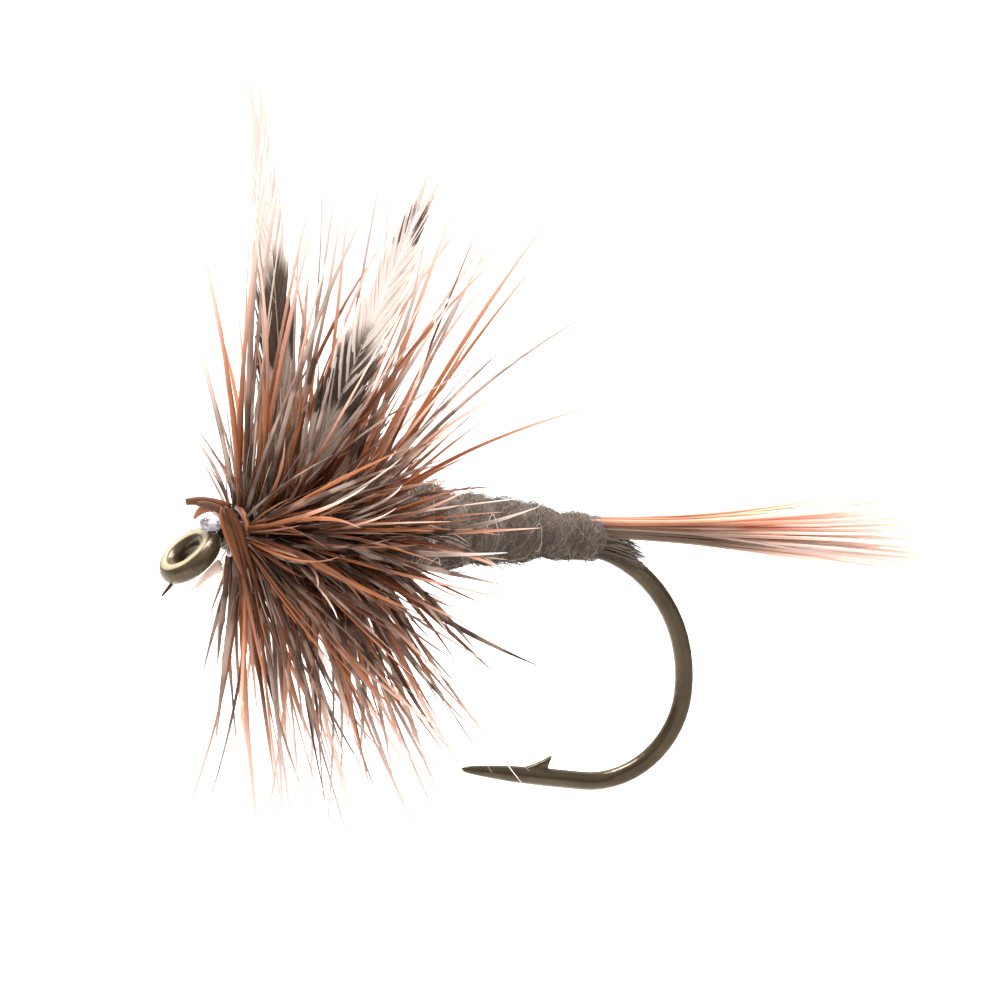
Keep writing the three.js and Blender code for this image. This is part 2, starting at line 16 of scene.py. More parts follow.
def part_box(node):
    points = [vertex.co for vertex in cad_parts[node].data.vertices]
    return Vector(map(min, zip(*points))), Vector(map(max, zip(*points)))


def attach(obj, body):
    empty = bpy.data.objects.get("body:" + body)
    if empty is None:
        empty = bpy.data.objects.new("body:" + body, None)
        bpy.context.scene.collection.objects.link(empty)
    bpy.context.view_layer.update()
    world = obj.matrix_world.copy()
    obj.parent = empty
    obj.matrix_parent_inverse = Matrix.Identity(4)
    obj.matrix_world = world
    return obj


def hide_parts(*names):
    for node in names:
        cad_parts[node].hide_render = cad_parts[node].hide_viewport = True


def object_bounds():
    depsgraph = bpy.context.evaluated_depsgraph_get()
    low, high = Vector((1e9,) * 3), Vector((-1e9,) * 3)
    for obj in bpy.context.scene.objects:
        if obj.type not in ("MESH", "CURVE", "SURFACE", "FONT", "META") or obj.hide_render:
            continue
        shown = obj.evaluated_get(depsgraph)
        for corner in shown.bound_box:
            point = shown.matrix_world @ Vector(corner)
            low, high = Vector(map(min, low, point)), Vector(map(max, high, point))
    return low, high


MM = 0.001
TAU = 2 * math.pi

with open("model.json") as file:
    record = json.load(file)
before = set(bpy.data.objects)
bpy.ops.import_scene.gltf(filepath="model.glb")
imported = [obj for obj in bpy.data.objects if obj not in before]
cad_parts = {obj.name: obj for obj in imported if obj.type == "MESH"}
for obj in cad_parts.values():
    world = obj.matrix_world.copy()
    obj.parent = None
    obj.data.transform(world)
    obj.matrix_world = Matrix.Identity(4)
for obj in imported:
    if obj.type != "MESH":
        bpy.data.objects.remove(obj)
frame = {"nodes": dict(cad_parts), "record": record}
cad_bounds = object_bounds()


# --- The frame: places and sizes taken from the CAD nodes, in millimetres ---

def low(node):
    return np.array(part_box(node)[0]) / MM


def high(node):
    return np.array(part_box(node)[1]) / MM


def middle(node):
    return (low(node) + high(node)) / 2


def node_points(node):
    """The vertices of a CAD node as an array of rows x, y, z."""
    vertices = frame["nodes"][node].data.vertices
    points = np.empty(len(vertices) * 3, np.float32)
    vertices.foreach_get("co", points)
    return points.reshape(-1, 3).astype(float) / MM


def mount_axis(name):
    return np.array(next(mount["axis"] for mount in frame["record"]["mounts"] if mount["name"] == name))


BACKWARD = np.array([1.0, 0.0, 0.0])
WIRE_RADIUS = 0.24
THREAD_RADIUS = 0.03
SHANK_Z = middle("thread_underwrap")[2]
EYE_AXIS = mount_axis("hook_eye")
EYE_HALF_HEIGHT = (node_points("hook") @ EYE_AXIS).max()
HEAD_FRONT_X = low("thread_head")[0]
HEAD_BACK_X = high("thread_head")[0]
HEAD_RADIUS = high("thread_head")[1]
LASHING_FRONT_X = low("wing_lashing")[0]
LASHING_BACK_X = high("wing_lashing")[0]
LASHING_RADIUS = high("wing_lashing")[1]
BODY_FRONT_X = low("dubbed_body")[0]
BODY_BACK_X = high("dubbed_body")[0]
BODY_RADIUS = high("dubbed_body")[1]
TAIL_START_X = high("tail_wraps")[0]
HACKLE_REACH = high("hackle_brown")[1]


# --- Mesh tools ---

def unit(vectors):
    """Vectors along the last axis, each made one long."""
    least = 1e-9
    return vectors / np.maximum(np.linalg.norm(vectors, axis=-1, keepdims=True), least)


def shares(points):
    """Even steps from 0 to 1, in one row."""
    return np.linspace(0, 1, points)[None]


def smoothstep(value, start, end):
    """From 0 at the start to 1 at the end, and level at both."""
    share = np.clip((value - start) / (end - start), 0, 1)
    return share * share * (3 - 2 * share)


def add_object(name, data):
    """A new object in the scene that holds a mesh, a light or a camera."""
    new = bpy.data.objects.new(name, data)
    bpy.context.scene.collection.objects.link(new)
    return new


def make_object(name, vertices, faces, attributes=None):
    """A smooth-shaded mesh object from vertices in millimetres and lists of faces."""
    mesh = bpy.data.meshes.new(name)
    mesh.from_pydata((np.asarray(vertices) * MM).tolist(), [], faces)
    mesh.validate()
    mesh.polygons.foreach_set("use_smooth", [True] * len(mesh.polygons))
    for key, values in (attributes or {}).items():
        layer = mesh.attributes.new(key, "FLOAT", "POINT")
        layer.data.foreach_set("value", np.asarray(values, np.float32).ravel())
    mesh.update()
    return add_object(name, mesh)


def finish_piece(piece, slot, material, *nodes):
    """Gives a piece its material and ties it to the frame."""
    piece.data.materials.clear()
    piece.data.materials.append(material)
    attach(piece, "root")
    if nodes:
        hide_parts(*nodes)


def tube_faces(count, points, sides):
    """Faces of closed tubes laid out as count x points x sides: quads between the rings, and end caps."""
    first = np.arange(count)[:, None, None] * points * sides
    step = np.arange(points - 1)[None, :, None] * sides
    corner = np.arange(sides)[None, None, :]
    after = (corner + 1) % sides
    start = first + step
    quads = np.stack([start + corner, start + after, start + sides + after, start + sides + corner], -1)
    front = first[:, 0, :] + np.arange(sides)[None, ::-1]
    back = first[:, 0, :] + (points - 1) * sides + np.arange(sides)[None, :]
    return quads.reshape(-1, 4).tolist() + front.tolist() + back.tolist()


def fibre_rings(paths, radii, sides, wide, flatness):
    """The points round every place on every fibre, as fibres x points x sides x 3."""
    steep = 0.9
    tangent = unit(np.gradient(paths, axis=1))
    if wide is None:
        wide = np.where(np.abs(tangent[:, :1, 2:]) < steep, [[[0.0, 0.0, 1.0]]], [[[0.0, 1.0, 0.0]]])
    else:
        wide = np.broadcast_to(np.asarray(wide, float).reshape(-1, 1, 3), (len(paths), 1, 3))
    across = unit(wide - tangent * np.sum(wide * tangent, -1, keepdims=True))
    through = np.cross(tangent, across)
    angle = np.arange(sides) / sides * TAU
    ring = (
        across[:, :, None] * np.cos(angle)[None, None, :, None]
        + through[:, :, None] * (flatness * np.sin(angle))[None, None, :, None]
    )
    return paths[:, :, None] + ring * radii[:, :, None, None]


def fibres(name, paths, radii, sides=5, wide=None, flatness=1.0, tone=None, reach=None, extra=None):
    """Closed tapered fibres in one mesh.

    paths is fibres x points x 3 and radii is fibres x points, half the width. wide is a direction for each
    fibre's wide side, and flatness its thickness as a share of its width. For the materials each vertex
    keeps its fibre's tone and how far along the fibre it lies, from 0 to 1 or to the fibre's reach, and
    whatever extra holds, as fibres x points. In radii and extra one row or column may stand for all.
    """
    count, points = paths.shape[:2]
    vertices = fibre_rings(paths, radii, sides, wide, flatness).reshape(-1, 3)
    tones = np.full(count, 0.5) if tone is None else tone
    reaches = np.ones(count) if reach is None else reach
    values = {"along": shares(points) * reaches[:, None], "tone": tones[:, None]}
    values.update(extra or {})
    attributes = {key: np.broadcast_to(v[:, :, None], (count, points, sides)) for key, v in values.items()}
    return make_object(name, vertices, tube_faces(count, points, sides), attributes)


def round_off(piece, voxel, smoothing):
    """Remeshes a piece made in millimetres to even small faces, smooths it and brings it to metres."""
    remesh = piece.modifiers.new("even", "REMESH")
    remesh.mode = "VOXEL"
    remesh.voxel_size = voxel
    smooth = piece.modifiers.new("round", "SMOOTH")
    smooth.factor = 0.5
    smooth.iterations = smoothing
    evaluated = piece.evaluated_get(bpy.context.evaluated_depsgraph_get())
    mesh = bpy.data.meshes.new_from_object(evaluated)
    piece.modifiers.clear()
    piece.data = mesh
    mesh.transform(Matrix.Scale(MM, 4))
    mesh.polygons.foreach_set("use_smooth", [True] * len(mesh.polygons))


# --- Materials ---

# SALMON, PEACH, PALE_TAUPE and NEAR_WHITE are colours that barbs pale to towards their tips: partly their own
# colour and partly painted glow of light through them
SALMON = (0.74, 0.43, 0.31)
PEACH = (0.95, 0.81, 0.74)
CREAM = (0.90, 0.79, 0.73)
PALE_TAUPE = (0.52, 0.40, 0.34)
NEAR_WHITE = (0.92, 0.84, 0.80)
FUR_SHEEN = {"Sheen_Weight": 0.35, "Sheen_Roughness": 0.6, "Sheen_Tint": (1.0, 0.85, 0.73, 1)}

# The sockets of a Mix node that mixes colours
MIX_FACTOR, MIX_FIRST, MIX_SECOND = 0, 6, 7
MIX_RESULT = 2


class Nodes:
    """A new node material, with short calls for the nodes that the materials share."""

    def __init__(self, name):
        self.material = bpy.data.materials.new(name)
        self.material.use_nodes = True
        self.tree = self.material.node_tree
        self.shader = self.tree.nodes["Principled BSDF"]
        self.output = self.tree.nodes["Material Output"]

    def add(self, kind, **settings):
        node = self.tree.nodes.new(kind)
        for key, value in settings.items():
            setattr(node, key, value)
        return node

    def link(self, source, target):
        self.tree.links.new(source, target)

    def feed(self, socket, value):
        """Gives a socket a number or a colour, or links another node's output to it."""
        if isinstance(value, tuple):
            socket.default_value = (*value, 1)
        elif isinstance(value, (int, float)):
            socket.default_value = value
        else:
            self.link(value, socket)

    def attribute(self, name):
        return self.add("ShaderNodeAttribute", attribute_type="GEOMETRY", attribute_name=name).outputs["Fac"]

    def math(self, operation, *values):
        node = self.add("ShaderNodeMath", operation=operation)
        for socket, value in zip(node.inputs, values):
            self.feed(socket, value)
        return node.outputs[0]

    def swing(self, value, width):
        """A value from 0 to 1, made to swing about 0 by half a width either way."""
        return self.math("MULTIPLY", self.math("SUBTRACT", value, 0.5), width)

    def ramp(self, factor, stops, interpolation="LINEAR"):
        node = self.add("ShaderNodeValToRGB")
        ramp = node.color_ramp
        ramp.interpolation = interpolation
        while len(ramp.elements) < len(stops):
            ramp.elements.new(0.5)
        for element, (place, color) in zip(ramp.elements, stops):
            element.position = place
            element.color = (*color, 1)
        self.link(factor, node.inputs["Fac"])
        return node.outputs["Color"]

    def mask(self, factor, *stops, interpolation="LINEAR"):
        """A ramp of grey levels."""
        return self.ramp(factor, [(place, (level, level, level)) for place, level in stops], interpolation)

    def mix(self, factor, first, second, blend="MIX"):
        node = self.add("ShaderNodeMix", data_type="RGBA", blend_type=blend)
        self.feed(node.inputs[MIX_FACTOR], factor)
        self.feed(node.inputs[MIX_FIRST], first)
        self.feed(node.inputs[MIX_SECOND], second)
        return node.outputs[MIX_RESULT]

    def paled(self, color, midway, tip):
        """A colour that goes over to two others in turn as the pale attribute goes from 0 to 1: partly the
        tips' own lighter colour and partly painted glow of light shining through them.
        """
        pale = self.attribute("pale")
        first = self.mask(pale, (0.0, 0), (0.5, 1))
        second = self.mask(pale, (0.4, 0), (1.0, 1))
        return self.mix(second, self.mix(first, color, midway), tip)

    def painted_root_shade(self, color, depth):
        """Painted shade: a colour darkened by a depth at a barb's root, over a quarter of its length, where
        the barbs crowd round the shank.
        """
        shade = self.mask(self.attribute("along"), (0.0, 1 - depth), (0.26, 1))
        return self.mix(1.0, color, shade, "MULTIPLY")

    def place(self):
        """Where a point lies in the object's own space, which is the frame's, in metres."""
        return self.add("ShaderNodeTexCoord").outputs["Object"]

    def noise(self, scale, detail=3.0, roughness=0.55):
        """Noise with a scale in waves to the metre."""
        place = self.place()
        node = self.add("ShaderNodeTexNoise")
        node.inputs["Scale"].default_value = scale
        node.inputs["Detail"].default_value = detail
        node.inputs["Roughness"].default_value = roughness
        self.link(place, node.inputs["Vector"])
        return node.outputs["Fac"]

    def height_along(self, axis, full):
        """How far a point lies along an axis through the origin, as a share of a full height."""
        node = self.add("ShaderNodeVectorMath", operation="DOT_PRODUCT")
        self.link(self.place(), node.inputs[0])
        node.inputs[1].default_value = axis / (full * MM)
        return node.outputs["Value"]

    def bump(self, height, distance, strength=0.5):
        """Bumps with a distance in metres."""
        node = self.add("ShaderNodeBump")
        node.inputs["Strength"].default_value = strength
        node.inputs["Distance"].default_value = distance
        self.link(height, node.inputs["Height"])
        self.link(node.outputs["Normal"], self.shader.inputs["Normal"])

    def base(self, color):
        self.link(color, self.shader.inputs["Base Color"])

    def mottled_base(self, scale, dark, pale):
        self.base(self.ramp(self.noise(scale), [(0.3, dark), (0.7, pale)]))

    def set(self, **values):
        for key, value in values.items():
            self.shader.inputs[key.replace("_", " ")].default_value = value

    def feather(self, color, roughness, specular, through):
        """Finishes a material as a thin feather, which lets a share of the light through from behind."""
        self.base(color)
        self.set(Roughness=roughness, Specular_IOR_Level=specular)
        translucent = self.add("ShaderNodeBsdfTranslucent")
        self.link(color, translucent.inputs["Color"])
        mix = self.add("ShaderNodeMixShader")
        mix.inputs[0].default_value = through
        self.link(self.shader.outputs[0], mix.inputs[1])
        self.link(translucent.outputs[0], mix.inputs[2])
        self.link(mix.outputs[0], self.output.inputs["Surface"])
        return self.material


def brown_barb_material():
    """Red-brown cock hackle: glossy, with painted shade at the root, paling through salmon to nearly white at
    the tip, partly in its own colour and partly as painted glow of light through the thin tips.
    """
    n = Nodes("brown_barbs")
    body = n.ramp(n.math("ADD", n.attribute("tone"), n.swing(n.noise(900.0), 0.6)), [
        (0.0, (0.085, 0.034, 0.018)), (0.35, (0.20, 0.073, 0.034)), (0.7, (0.37, 0.132, 0.054)),
        (1.0, (0.56, 0.22, 0.095)),
    ])
    return n.feather(n.paled(n.painted_root_shade(body, 0.5), SALMON, PEACH), 0.5, 0.2, 0.35)


def barred_barb_material():
    """Grizzly hackle: soft uneven bars of dark brown and taupe, with painted shade at the root, that pale
    towards the tip, partly in their own colour and partly as painted glow of light through the thin tips.
    """
    n = Nodes("barred_barbs")
    along = n.attribute("along")
    tone = n.attribute("tone")
    wobble = n.math("MULTIPLY", n.noise(420.0), 1.6)
    shift = n.math("ADD", n.math("MULTIPLY", tone, 7.0), wobble)
    phase = n.math("ADD", n.math("MULTIPLY", along, 3.6), shift)
    wave = n.math("SINE", n.math("MULTIPLY", phase, TAU))
    bars = n.mask(n.math("MULTIPLY_ADD", wave, 0.5, 0.5), (0.15, 0), (0.65, 1), interpolation="EASE")
    shade = n.math("ADD", tone, n.swing(n.noise(1500.0), 0.5))
    dark = n.ramp(shade, [
        (0.0, (0.055, 0.029, 0.020)), (0.5, (0.145, 0.084, 0.058)), (1.0, (0.30, 0.195, 0.145)),
    ])
    light = n.ramp(shade, [
        (0.0, (0.24, 0.145, 0.105)), (0.6, (0.44, 0.31, 0.245)), (1.0, (0.62, 0.49, 0.41)),
    ])
    color = n.paled(n.painted_root_shade(n.mix(bars, light, dark), 0.5), PALE_TAUPE, NEAR_WHITE)
    return n.feather(color, 0.5, 0.25, 0.35)


def stem_material(name, dark, pale):
    n = Nodes(name)
    n.mottled_base(1500.0, dark, pale)
    n.bump(n.noise(9000.0), 0.00002)
    n.set(Roughness=0.35)
    return n.material


def wing_quill_material():
    """The wing's stem, coloured as the barbs on either side of it are."""
    n = Nodes("wing_quill")
    speckle = n.swing(n.noise(1500.0), 0.06)
    n.base(n.ramp(n.math("ADD", n.attribute("along"), speckle), [
        (0.1, (0.45, 0.35, 0.29)), (0.36, (0.13, 0.085, 0.065)), (0.55, (0.20, 0.14, 0.11)), (0.64, CREAM),
    ]))
    n.bump(n.noise(9000.0), 0.00002)
    n.set(Roughness=0.4)
    return n.material


def wing_material():
    """Barred hen feather: a dark band low down, a wide cream one above it, and marked barbs near the tip."""
    n = Nodes("wing_barbs")
    place = n.attribute("place")
    edge = n.swing(n.attribute("tone"), 0.04)
    wobble = n.swing(n.noise(900.0), 0.04)
    here = n.math("ADD", place, n.math("ADD", edge, wobble))
    ground = n.ramp(here, [
        (0.0, (0.34, 0.26, 0.21)), (0.34, (0.50, 0.40, 0.33)), (0.58, CREAM), (0.9, (0.86, 0.74, 0.68)),
    ])
    band = n.mask(here, (0.28, 0), (0.34, 1), (0.50, 1), (0.60, 0), interpolation="EASE")
    band_color = n.ramp(here, [
        (0.30, (0.050, 0.030, 0.022)), (0.50, (0.11, 0.070, 0.050)), (0.60, (0.30, 0.22, 0.17)),
    ])
    banded = n.mix(n.math("MULTIPLY", band, n.attribute("banded")), ground, band_color)
    stroke = n.mask(here, (0.85, 0), (0.87, 1), (0.96, 1), (0.99, 0))
    color = n.mix(n.math("MULTIPLY", stroke, n.attribute("mark")), banded, (0.13, 0.085, 0.080))
    return n.feather(color, 0.6, 0.2, 0.45)


def tail_material(name, stops, midway):
    """Stiff tail fibres, coloured by the stops, paling through a midway colour to nearly white, partly in
    their own colour and partly as painted glow of light through the thin tips.
    """
    n = Nodes(name)
    grain = n.swing(n.noise(700.0), 0.5)
    body = n.ramp(n.math("ADD", n.attribute("tone"), grain), stops)
    return n.feather(n.paled(body, midway, (0.95, 0.83, 0.77)), 0.5, 0.25, 0.45)


def fur_material(name, stops):
    n = Nodes(name)
    tone = n.attribute("tone")
    clumps = n.noise(1400.0)
    hue = n.math("ADD", n.math("MULTIPLY", tone, 0.5), n.math("MULTIPLY", clumps, 0.6))
    n.base(n.ramp(hue, stops))
    n.set(Roughness=0.9, Specular_IOR_Level=0.15, **FUR_SHEEN)
    return n.material


def fur_core_material():
    n = Nodes("fur_core")
    strands = n.noise(5200.0, detail=5.0, roughness=0.7)
    patches = n.noise(900.0)
    hue = n.math("ADD", n.math("MULTIPLY", strands, 0.6), n.math("MULTIPLY", patches, 0.4))
    n.base(n.ramp(hue, [
        (0.3, (0.050, 0.036, 0.028)), (0.5, (0.082, 0.060, 0.048)), (0.7, (0.13, 0.098, 0.079)),
    ]))
    n.bump(strands, 0.00006, 0.9)
    n.set(Roughness=0.95, Specular_IOR_Level=0.1, **FUR_SHEEN)
    return n.material


def thread_material():
    n = Nodes("waxed_thread")
    n.mottled_base(3000.0, (0.038, 0.027, 0.026), (0.105, 0.080, 0.078))
    n.bump(n.noise(40000.0), 0.000008)
    n.set(Roughness=0.5, Specular_IOR_Level=0.4, Sheen_Weight=0.2)
    return n.material


def hook_material():
    """Bronzed wire: dark brown lacquer, olive at its edges, with a painted highlight on the eye's upper rim.
    """
    n = Nodes("bronzed_wire")
    wear_and_highlight_noise = n.noise(700.0, detail=4.0)
    fine = n.noise(12000.0, detail=2.0)
    lacquer = n.ramp(wear_and_highlight_noise, [
        (0.3, (0.034, 0.021, 0.010)), (0.55, (0.050, 0.034, 0.016)), (0.8, (0.084, 0.060, 0.030)),
    ])
    # Painted highlight: the eye's upper face, highest along its axis, is coloured light tan, its edge broken
    # by the noise.
    height = n.math("ADD", n.height_along(EYE_AXIS, EYE_HALF_HEIGHT), n.math("MULTIPLY", wear_and_highlight_noise, 0.1))
    bright = n.mask(height, (0.93, 0), (1.0, 1), interpolation="EASE")
    n.base(n.mix(bright, lacquer, (0.46, 0.39, 0.25)))
    n.link(n.mask(fine, (0.3, 0.25), (0.7, 0.30)), n.shader.inputs["Roughness"])
    n.bump(fine, 0.000003, 0.12)
    n.set(Metallic=0.55, Specular_IOR_Level=0.4, Sheen_Weight=0.6, Sheen_Roughness=0.3,
          Sheen_Tint=(0.62, 0.54, 0.30, 1))
    return n.material


def cement_material():
    n = Nodes("clear_cement")
    n.mottled_base(2500.0, (0.46, 0.42, 0.46), (0.86, 0.83, 0.88))
    n.bump(n.noise(2500.0), 0.00003, 0.2)
    n.set(Roughness=0.06, Transmission_Weight=0.75, IOR=1.47, Coat_Weight=1.0, Coat_Roughness=0.03)
    return n.material


# --- Hook ---

def build_hook(material):
    """The CAD hook's own shape with its facets rounded away, as drawn and lacquered wire is."""
    source = frame["nodes"]["hook"].data.copy()
    source.transform(Matrix.Scale(1 / MM, 4))
    piece = add_object("hook_wire", source)
    round_off(piece, voxel=0.03, smoothing=4)
    finish_piece(piece, "hook_bronze", material, "hook")


# --- Thread, head and cement ---

TURN_STEPS = 22

# Where each drop of cement lies and its half-sizes
CEMENT_DROPS = [
    ((0.30, -0.10, SHANK_Z + 0.20), (0.20, 0.22, 0.20)),
    ((0.48, -0.08, SHANK_Z + 0.24), (0.24, 0.28, 0.22)),
    ((0.98, -0.20, SHANK_Z - 0.46), (0.11, 0.14, 0.13)),
]
CEMENT_RIPPLE = 0.03

# Each cut quill or short barb: three places along it, half-width, how much it thins, tone and paleness
BUTTS = [
    (((0.84, -0.20, 1.30), (0.20, -0.15, 1.44), (-0.32, -0.10, 1.40)), 0.13, 0.35, 0.35, 0.0),
    (((0.72, -0.30, 1.18), (0.30, -0.28, 1.36), (-0.08, -0.25, 1.40)), 0.11, 0.45, 0.05, 0.05),
    (((0.40, -0.16, 1.33), (0.12, -0.13, 1.22), (-0.05, -0.10, 0.98)), 0.13, 0.6, 0.6, 0.1),
    (((0.82, -0.10, -0.21), (0.44, -0.10, -0.50), (0.02, -0.10, -0.90)), 0.12, 0.8, 0.8, 0.95),
    (((0.82, -0.05, -0.12), (0.50, -0.10, -0.42), (0.20, -0.14, -0.80)), 0.10, 0.7, 0.9, 0.85),
    (((-0.41, -0.10, -0.66), (-0.54, -0.13, -0.82), (-0.69, -0.15, -1.01)), 0.050, 0.5, 0.1, 0.0),
]

# The bundle of first barbs: three places along its middle, and how far its barbs spread about each
FIRST_BARBS_LINE = [(0.62, -0.40, 1.30), (1.02, -0.74, 0.36), (1.95, -1.20, -1.75)]
FIRST_BARBS_SPREAD = [(0.07, 0.03, 0.04), (0.09, 0.04, 0.07), (0.34, 0.16, 0.45)]


def turns_over(front_x, back_x):
    """How many turns of thread lie side by side between two places."""
    return int((back_x - front_x) / (2 * THREAD_RADIUS))


def coil_path(front_x, back_x, turns, half_width, half_height, centre_z, steps=TURN_STEPS):
    """Thread wound from front to back. Each half-size is a number, or one for every point."""
    share = np.linspace(0, 1, turns * steps)
    angle = share * turns * TAU
    x = front_x + (back_x - front_x) * share
    return np.stack([x, half_width * np.sin(angle), centre_z + half_height * np.cos(angle)], -1)


def thread_coil(name, path, material, node, radius=THREAD_RADIUS):
    piece = fibres(name, path[None], np.full((1, len(path)), radius), sides=8, wide=BACKWARD)
    finish_piece(piece, "tying_thread", material, node)


def build_tail_thread(material):
    front = low("tail_wraps")[0]
    half = (high("tail_wraps") - low("tail_wraps")) / 2 - THREAD_RADIUS
    path = coil_path(front + THREAD_RADIUS, TAIL_START_X - THREAD_RADIUS, turns_over(front, TAIL_START_X),
                     half[1], half[2], middle("tail_wraps")[2])
    thread_coil("tail_thread", path, material, "tail_wraps")


def build_wing_thread(material):
    radius = LASHING_RADIUS - THREAD_RADIUS
    turns = turns_over(LASHING_FRONT_X, LASHING_BACK_X)
    path = coil_path(LASHING_FRONT_X, LASHING_BACK_X, turns, radius, radius, SHANK_Z)
    thread_coil("wing_thread", path, material, "wing_lashing")


def build_head_thread(material):
    """The head: a cone of turns, steep at its front and nearly level at its back."""
    turns = turns_over(HEAD_FRONT_X, HEAD_BACK_X)
    share = np.linspace(0, 1, turns * TURN_STEPS)
    first = WIRE_RADIUS + 2 * THREAD_RADIUS
    growth = HEAD_RADIUS - WIRE_RADIUS - 3 * THREAD_RADIUS
    radius = first + growth * np.sin(share * math.pi / 2)
    path = coil_path(HEAD_FRONT_X, HEAD_BACK_X, turns, radius, radius, SHANK_Z)
    thread_coil("head_thread", path, material, "thread_head", THREAD_RADIUS * 1.15)


def build_underwrap(material):
    """The base layer of thread, as far as the fur that hides the rest of it."""
    front = low("thread_underwrap")[0]
    radius = (high("thread_underwrap") - low("thread_underwrap"))[1] / 2 - THREAD_RADIUS
    path = coil_path(front, BODY_FRONT_X, turns_over(front, BODY_FRONT_X), radius, radius, SHANK_Z, steps=16)
    thread_coil("base_thread", path, material, "thread_underwrap")


def build_figure_eight(material):
    """Three passes of thread crossed between the wings and round the foot of each."""
    centre = middle("wing_figure_eight")
    half = (high("wing_figure_eight") - low("wing_figure_eight")) / 2 - THREAD_RADIUS
    passes, points = 3, 160
    share = np.linspace(0, 1, points)
    angle = share * passes * TAU
    climb = (share - 0.5) * 2 * THREAD_RADIUS * passes
    z = THREAD_RADIUS * np.cos(angle) + climb
    path = centre + np.stack([half[0] * np.sin(2 * angle), half[1] * np.sin(angle), z], -1)
    thread_coil("crossed_thread", path, material, "wing_figure_eight")


def build_cement(material):
    """The clear coat: drops of lacquer run together over the head, on to the eye and under the wire."""
    source = bmesh.new()
    for place, size in CEMENT_DROPS:
        matrix = Matrix.Translation(place) @ Matrix.Diagonal((*size, 1))
        bmesh.ops.create_icosphere(source, subdivisions=4, radius=1.0, matrix=matrix)
    for vertex in source.verts:
        x, y, z = vertex.co
        ripple = vertex.co.normalized() * CEMENT_RIPPLE * math.sin(9 * x + 4) * math.sin(8 * y + 1)
        vertex.co += ripple * math.sin(7 * z)
    mesh = bpy.data.meshes.new("cement_coat")
    source.to_mesh(mesh)
    source.free()
    piece = add_object("cement_coat", mesh)
    round_off(piece, voxel=0.03, smoothing=10)
    finish_piece(piece, "head_cement", material, "head_cement")


def bent_paths(through, points):
    """Paths from rows of three places each: where it starts, a place half-way along it, and where it ends."""
    share = np.linspace(0, 1, points)[None, :, None]
    first, second, third = (through[:, k, None] for k in range(3))
    handle = 2 * second - (first + third) / 2
    return first * (1 - share) ** 2 + handle * 2 * share * (1 - share) + third * share ** 2


def build_butts(material):
    """What shows of the feathers at the head: cut quills above the eye and short barbs under it."""
    points = 12
    places, width, thinning, tone, pale = (np.array(column) for column in zip(*BUTTS))
    share = shares(points)
    radii = width[:, None] * (1 - thinning[:, None] * share ** 2)
    paths = bent_paths(places, points)
    piece = fibres("cut_butts", paths, radii, sides=10, wide=(0.3, 0.3, 1.0), flatness=0.5, tone=tone,
                   extra={"pale": pale[:, None]})
    finish_piece(piece, "brown_feather", material)


def build_first_barbs(material):
    """The first barbs of the brown feather: a bundle that lies down over the near side of the head."""
    rng = np.random.default_rng(5)
    count, points = 22, 16
    spread = rng.normal(0, 1, (count, 3, 3)) * np.array(FIRST_BARBS_SPREAD)
    paths = bent_paths(np.array(FIRST_BARBS_LINE)[None] + spread, points)
    share = shares(points)
    width = rng.uniform(0.05, 0.085, count)[:, None]
    radii = width * (0.55 + 0.45 * np.minimum(5 * share, 1)) * (1 - 0.85 * share ** 2.5)
    piece = fibres("first_barbs", paths, radii, sides=8, wide=(0.8, 0.2, 0.3), flatness=0.5,
                   tone=rng.uniform(0.05, 0.75, count), extra={"pale": np.zeros((count, 1))})
    finish_piece(piece, "brown_feather", material)


# --- Fur body ---

WRAP_PITCH = 1.0
BODY_END_X = TAIL_START_X + 0.22
BODY_END_RADIUS = 0.58
FUR_FRONT_RADIUS = 1.22 * BODY_RADIUS
TAPER_END = 0.85  # as a share of the body's length
ROUNDED_FROM = 0.86  # likewise

# The fur's lumps: their height as a share of the radius, waves along, waves round, and a phase
LUMPS = [(0.045, 2.3, 2, 0.4), (0.040, 4.1, -3, 1.9), (0.025, 8.3, 5, 4.0), (0.018, 13.7, -7, 2.2)]


def body_radius(x, angle):
    """The fur's surface: a taper to the tail, ridged by the wraps of the noodle and lumpy as spun fur is."""
    share = np.clip((x - BODY_FRONT_X) / (BODY_END_X - BODY_FRONT_X), 0, 1)
    swell = (FUR_FRONT_RADIUS - BODY_END_RADIUS) * np.clip(1 - share / TAPER_END, 0, 1) ** 1.2
    front = 0.6 + 0.4 * smoothstep(share, -0.04, 0.16)
    back = np.sqrt(1 - 0.78 * (np.clip(share - ROUNDED_FROM, 0, 1) / (1 - ROUNDED_FROM)) ** 2)
    wrap = np.abs(np.sin((x / WRAP_PITCH) * math.pi + angle / 2))
    ridges = 0.84 + 0.17 * wrap ** 0.7
    lumps = sum(high * np.sin(along * x + around * angle + start) for high, along, around, start in LUMPS)
    return (BODY_END_RADIUS + swell) * front * back * (ridges + lumps)


def body_centre_z(x):
    """The middle of the fur, raised by the butts on the shank and coming down towards the bend."""
    return middle("dubbed_body")[2] + 0.03 - 0.10 * smoothstep(x, BODY_BACK_X - 1.4, BODY_END_X)


def body_point(x, angle, lift=0.0):
    radius = body_radius(x, angle) + lift
    return np.stack([x, radius * np.sin(angle), body_centre_z(x) + radius * np.cos(angle)], -1)


def build_fur_core(material):
    rings, points = 260, 96
    x = np.linspace(BODY_FRONT_X - 0.25, BODY_END_X, rings)[:, None]
    angle = (np.arange(points) / points * TAU)[None]
    x, angle = np.broadcast_arrays(x, angle)
    core = make_object("fur_core", body_point(x, angle).reshape(-1, 3), tube_faces(1, rings, points))
    finish_piece(core, "grey_fur", material, "dubbed_body")


